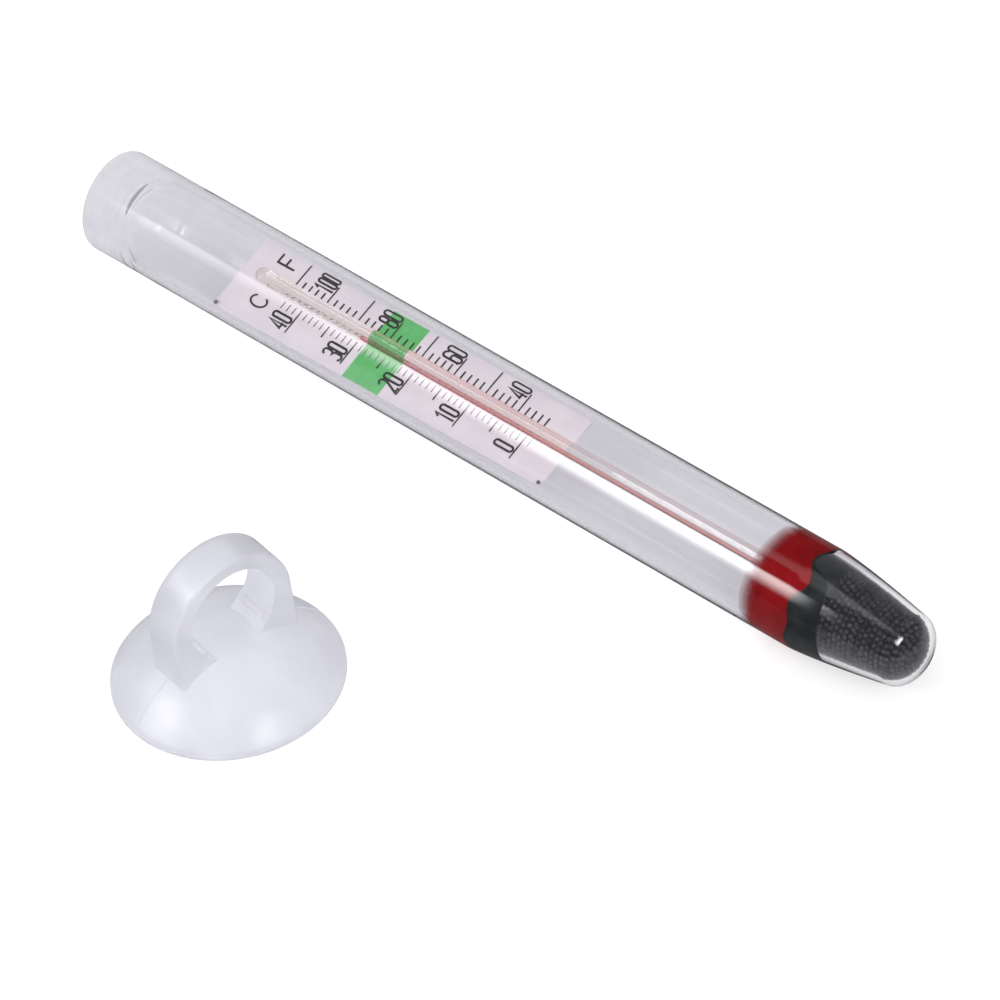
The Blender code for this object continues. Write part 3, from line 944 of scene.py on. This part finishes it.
def wall_shot():
    """Rows of balls against the glass and in layers inside it, each a little out of line and out of size."""
    rng = random.Random(SEED)
    wall = tip_profile(inner_radius, TIP_WALL, SHOT_TOP + SHOT_TILT)[::-1]
    row_gap = SHOT_RADIUS * SHOT_ROW_GAP
    balls = []
    for layer in range(SHOT_LAYERS):
        inset = SHOT_RADIUS * (SHOT_INSET + SHOT_LAYER_GAP * layer)
        travelled = row_gap / 2 * layer
        for (r0, h0), (r1, h1) in zip(wall, wall[1:]):
            length = math.hypot(r1 - r0, h1 - h0)
            travelled += length
            if travelled < row_gap:
                continue
            travelled -= row_gap
            radius = r1 - inset * (h1 - h0) / length
            height = h1 + inset * (r1 - r0) / length
            if radius < 0:
                continue
            count = balls_round(radius)
            turn = rng.uniform(0, 2 * math.pi)
            for i in range(count):
                uneven = rng.uniform(-SHOT_UNEVEN_TURN, SHOT_UNEVEN_TURN)
                angle = turn + 2 * math.pi * (i + uneven) / count
                out = radius - rng.uniform(0.0, SHOT_UNEVEN_PLACE) * SHOT_RADIUS
                up = height + rng.uniform(-SHOT_UNEVEN_PLACE, SHOT_UNEVEN_PLACE) * SHOT_RADIUS
                size = SHOT_RADIUS * rng.uniform(SHOT_SMALLEST, SHOT_LARGEST)
                centre = Vector((out * math.cos(angle), out * math.sin(angle), up))
                beside = (centre - BORE_AXIS).xy.length
                if up < BULB_BOTTOM - SHOT_RADIUS or beside >= BULB_RADIUS + SHOT_RADIUS:
                    balls.append((centre, size))
    return balls


def bulb_shot():
    """Rows of balls against the bulb."""
    reach = BULB_RADIUS + SHOT_RADIUS
    row_gap = SHOT_RADIUS * SHOT_ROW_GAP
    count = balls_round(reach)
    balls = []
    for row in range(int((SHOT_TOP - BULB_BOTTOM) / row_gap)):
        for i in range(count):
            angle = 2 * math.pi * (i + row % 2 / 2) / count
            up = BULB_BOTTOM + row * row_gap
            side = Vector((reach * math.cos(angle), reach * math.sin(angle), up))
            balls.append((BORE_AXIS + side, SHOT_RADIUS))
    return balls


def make_shot():
    """The loose ballast, every ball a sphere of its own."""
    template = bmesh.new()
    bmesh.ops.create_icosphere(template, subdivisions=2, radius=1.0)
    corners = [v.co.copy() for v in template.verts]
    faces = [[v.index for v in f.verts] for f in template.faces]
    template.free()
    verts, polygons = [], []
    for centre, size in wall_shot() + bulb_shot():
        first = len(verts)
        verts += [TUBE_PLACE @ (centre + corner * size) for corner in corners]
        polygons += [[first + i for i in face] for face in faces]
    mesh = bpy.data.meshes.new("shot")
    mesh.from_pydata(verts, [], polygons)
    bm = bmesh.new()
    bm.from_mesh(mesh)
    bpy.data.meshes.remove(mesh)
    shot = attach(new_piece("lead_shot", bm, lead_shot(), ALL_SMOOTH), "thermometer")
    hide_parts("ballast_shot")


# ---------------------------------------------------------------- suction cup

def cap_profile(radius, rise, base, count):
    """A shallow dome from its crown on the axis down to radius, as part of a sphere."""
    sphere = (radius**2 + rise**2) / (2 * rise)
    half_angle = math.asin(radius / sphere)
    centre = (0, base + rise - sphere)
    points = arc(centre, (sphere, sphere), math.pi / 2, math.pi / 2 - half_angle, count)
    return [(0.0, base + rise)] + points[1:]


def helper(name, bm):
    """A shape used to build another one, removed once it has served."""
    mesh = bpy.data.meshes.new(name)
    bm.to_mesh(mesh)
    bm.free()
    obj = bpy.data.objects.new(name, mesh)
    bpy.context.scene.collection.objects.link(obj)
    return obj


def combine(base, steps):
    """The base with each shape added to it or cut from it, as a bmesh. All of them are removed."""
    for shape, operation in steps:
        boolean = base.modifiers.new(shape.name, "BOOLEAN")
        boolean.operation = operation
        boolean.solver = "EXACT"
        boolean.object = shape
    bpy.context.view_layer.update()
    bm = bmesh.new()
    bm.from_object(base, bpy.context.evaluated_depsgraph_get())
    for obj in [base] + [shape for shape, operation in steps]:
        bpy.data.objects.remove(obj)
    return bm


def bar(name, radius, length, y, z, segments):
    """A round bar across the ring."""
    bm = bmesh.new()
    place = RING_PLACE @ Matrix.Translation((0, y, z)) @ Matrix.Rotation(math.pi / 2, 4, "Y")
    bmesh.ops.create_cone(
        bm, cap_ends=True, segments=segments, radius1=radius, radius2=radius, depth=length, matrix=place
    )
    return helper(name, bm)


def arch():
    """The ring's outside: a round top on legs that widen a little towards the dome, with soft edges."""
    bm = bmesh.new()
    over = arc((RING_SHIFT, RING_CENTRE), (RING_RADIUS, RING_RADIUS), 0, math.pi, 3 * CURVE_POINTS)
    feet = [(RING_SHIFT - RING_RADIUS, RING_FOOT), (RING_SHIFT + RING_RADIUS, RING_FOOT)]
    sides = []
    for way in (-1, 1):
        outline = [(way * (RING_WIDTH / 2 + LEG_FLARE), y, z) for y, z in feet]
        outline += [(way * RING_WIDTH / 2, y, z) for y, z in over]
        sides.append([bm.verts.new(RING_PLACE @ Vector(point)) for point in outline])
    count = len(sides[0])
    for i in range(count):
        j = (i + 1) % count
        bm.faces.new((sides[0][i], sides[0][j], sides[1][j], sides[1][i]))
    rims = []
    for side in sides:
        legs = bm.faces.new(side[:3] + side[-1:])
        crown = bm.faces.new(side[2:])
        shared = set(legs.edges) & set(crown.edges)
        rims += [edge for face in (legs, crown) for edge in face.edges if edge not in shared]
    bmesh.ops.recalc_face_normals(bm, faces=bm.faces)
    bmesh.ops.bevel(bm, geom=rims, offset=RING_EDGE, segments=4, profile=0.5, affect="EDGES")
    return helper("arch", bm)


def seam(way):
    """The mould's parting line: a low ridge from a foot of the ring to the rim, way -1 or +1."""
    bm = bmesh.new()
    sphere = (CUP_RADIUS**2 + CUP_RISE**2) / (2 * CUP_RISE)
    first = math.asin((RING_RADIUS - RING_EDGE) / sphere)
    last = math.asin((CUP_RADIUS - RING_EDGE) / sphere)
    rows = []
    for i in range(CURVE_POINTS + 1):
        tilt = first + (last - first) * i / CURVE_POINTS
        up = Vector((0, way * math.sin(tilt), math.cos(tilt)))
        middle = up * sphere + Vector((0, 0, CUP_LIP + CUP_RISE - sphere))
        row = []
        for k in range(SEAM_SIDES):
            turn = 2 * math.pi * k / SEAM_SIDES
            side = Vector((SEAM_WIDTH / 2 * math.cos(turn), 0, 0)) + up * SEAM_HEIGHT * math.sin(turn)
            row.append(bm.verts.new(RING_PLACE @ (middle + side)))
        rows.append(row)
    for one, two in zip(rows, rows[1:]):
        for k in range(SEAM_SIDES):
            j = (k + 1) % SEAM_SIDES
            bm.faces.new((one[k], one[j], two[j], two[k]))
    bm.faces.new(rows[0])
    bm.faces.new(rows[-1])
    bmesh.ops.recalc_face_normals(bm, faces=bm.faces)
    return helper("seam", bm)


def make_cup():
    """Dome and ring as the one soft moulding they are, with the mould's parting line over the dome."""
    bm = bmesh.new()
    dome = cap_profile(CUP_RADIUS, CUP_RISE, CUP_LIP, 2 * CURVE_POINTS)
    lip = [(CUP_RADIUS, LIP_CHAMFER), (CUP_RADIUS - LIP_CHAMFER, 0.0)]
    hollow = cap_profile(HOLLOW_RADIUS, HOLLOW_RISE, 0.0, 2 * CURVE_POINTS)
    lathe(bm, dome + lip + hollow[::-1], CUP_STEPS, CUP_PLACE)
    skirt = helper("skirt", bm)

    bm = bmesh.new()
    under = cap_profile(HOLLOW_RADIUS, HOLLOW_RISE, ROOT_LIFT, 2 * CURVE_POINTS)
    floor = [(CUP_RADIUS, -CUP_LIP), (0.0, -CUP_LIP)]
    lathe(bm, under + floor, CUP_STEPS, CUP_PLACE)
    keep_out = helper("hollow", bm)

    hole = bar("hole", HOLE_RADIUS, 3 * RING_WIDTH, RING_SHIFT, HOLE_CENTRE, CUP_STEPS)
    ribs = []
    for side in (-1, 1):
        y = RING_SHIFT + side * HOLE_RADIUS * math.cos(RIB_ANGLE)
        z = HOLE_CENTRE - HOLE_RADIUS * math.sin(RIB_ANGLE)
        ribs.append((bar("rib", RIB_RADIUS, RING_WIDTH - 2 * RING_EDGE, y, z, RIB_STEPS), "UNION"))
    ring = helper("ring", combine(arch(), [(hole, "DIFFERENCE")] + ribs + [(keep_out, "DIFFERENCE")]))
    bm = combine(skirt, [(ring, "UNION"), (seam(-1), "UNION"), (seam(1), "UNION")])
    cup = new_piece("suction_cup", bm, clear_vinyl(), CUP_SMOOTH_ANGLE)
    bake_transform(cup)
    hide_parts("suction_cup_skirt", "suction_cup_ring")


# ---------------------------------------------------------------- studio

def make_floor():
    """The table top, just under the object."""
    bm = bmesh.new()
    low, high = cad_bounds
    middle = (low + high) / 2
    bmesh.ops.create_grid(
        bm, x_segments=1, y_segments=1, size=FLOOR_SIZE,
        matrix=Matrix.Translation((middle.x, middle.y, low.z - FLOOR_GAP)),
    )
    new_piece("floor", bm, floor_paint())


def product(tree, sockets):
    """Two numbers multiplied."""
    both = tree.nodes.new("ShaderNodeMath")
    both.operation = "MULTIPLY"
    for socket, result in zip(both.inputs, sockets):
        tree.links.new(result, socket)
    return both.outputs[0]


def edge_fade(tree, position, ends):
    """From 0 at the two ends of a light to 1 inside it, over a share of its size at its low and high end."""
    fades = []
    for edge, full in ((0.0, ends[0]), (1.0, 1.0 - ends[1])):
        fade = tree.nodes.new("ShaderNodeMapRange")
        fade.interpolation_type = "SMOOTHSTEP"
        tree.links.new(position, fade.inputs["Value"])
        fade.inputs["From Min"].default_value = edge
        fade.inputs["From Max"].default_value = full
        fades.append(fade.outputs[0])
    return product(tree, fades)


def softbox(name, place, size, radiance, soft, along):
    """A rectangular studio light that faces the thermometer, as SOFTBOXES describes it."""
    light = bpy.data.lights.new(name, "AREA")
    light.shape = "RECTANGLE"
    light.size, light.size_y = size
    light.energy = radiance * math.pi * size[0] * size[1]
    light.use_nodes = True
    tree = light.node_tree
    parametric = tree.nodes.new("ShaderNodeNewGeometry").outputs["Parametric"]
    split = tree.nodes.new("ShaderNodeSeparateXYZ")
    tree.links.new(parametric, split.inputs[0])
    strength = product(tree, [edge_fade(tree, split.outputs[i], soft[i]) for i in range(2)])
    tree.links.new(strength, tree.nodes["Emission"].inputs["Strength"])
    lamp = bpy.data.objects.new(name, light)
    back = Vector(place).normalized()
    across = (along - back * along.dot(back)).normalized()
    up = back.cross(across)
    turn = Matrix((across, up, back)).transposed().to_4x4()
    lamp.matrix_world = Matrix.Translation(tube_middle + Vector(place)) @ turn
    bpy.context.scene.collection.objects.link(lamp)


def make_lights():
    for description in SOFTBOXES:
        softbox(*description)
    world = bpy.data.worlds.new("sky")
    world.use_nodes = True
    strength = spread(world, mirror_ray(world, SKY_CLEARNESS), SKY, SKY_MIRRORED)
    background = world.node_tree.nodes["Background"]
    world.node_tree.links.new(strength, background.inputs["Strength"])
    background.inputs["Color"].default_value = WHITE
    bpy.context.scene.world = world


def make_camera():
    back = Vector((
        math.sin(CAMERA_AZIMUTH) * math.cos(CAMERA_ELEVATION),
        -math.cos(CAMERA_AZIMUTH) * math.cos(CAMERA_ELEVATION),
        math.sin(CAMERA_ELEVATION),
    ))
    level = Vector((math.cos(CAMERA_AZIMUTH), math.sin(CAMERA_AZIMUTH), 0))
    rise = back.cross(level)
    right = level * math.cos(CAMERA_ROLL) + rise * math.sin(CAMERA_ROLL)
    up = rise * math.cos(CAMERA_ROLL) - level * math.sin(CAMERA_ROLL)
    data = bpy.data.cameras.new("camera")
    data.lens = CAMERA_LENS
    camera = bpy.data.objects.new("camera", data)
    turn = Matrix((right, up, back)).transposed().to_4x4()
    camera.matrix_world = Matrix.Translation(CAMERA_TARGET + back * CAMERA_DISTANCE) @ turn
    bpy.context.scene.collection.objects.link(camera)
    bpy.context.scene.camera = camera


def make_studio():
    make_floor()
    make_lights()
    make_camera()
    scene = bpy.context.scene
    scene.view_settings.view_transform = "Standard"
    scene.cycles.max_bounces = GLASS_BOUNCES
    scene.cycles.transmission_bounces = GLASS_BOUNCES
    scene.cycles.transparent_max_bounces = CLEAR_BOUNCES
    scene.cycles.glossy_bounces = GLOSSY_BOUNCES


make_tube()
make_card()
make_print()
make_stem()
make_thread()
make_wax()
make_pitch()
make_shot()
make_cup()
for node_name, finish in (
    ("spirit_in_bulb", red_spirit()),
    ("glue_bead_upper", adhesive()),
    ("glue_bead_lower", adhesive()),
):
    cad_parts[node_name].data.materials.clear()
    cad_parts[node_name].data.materials.append(finish)
make_studio()
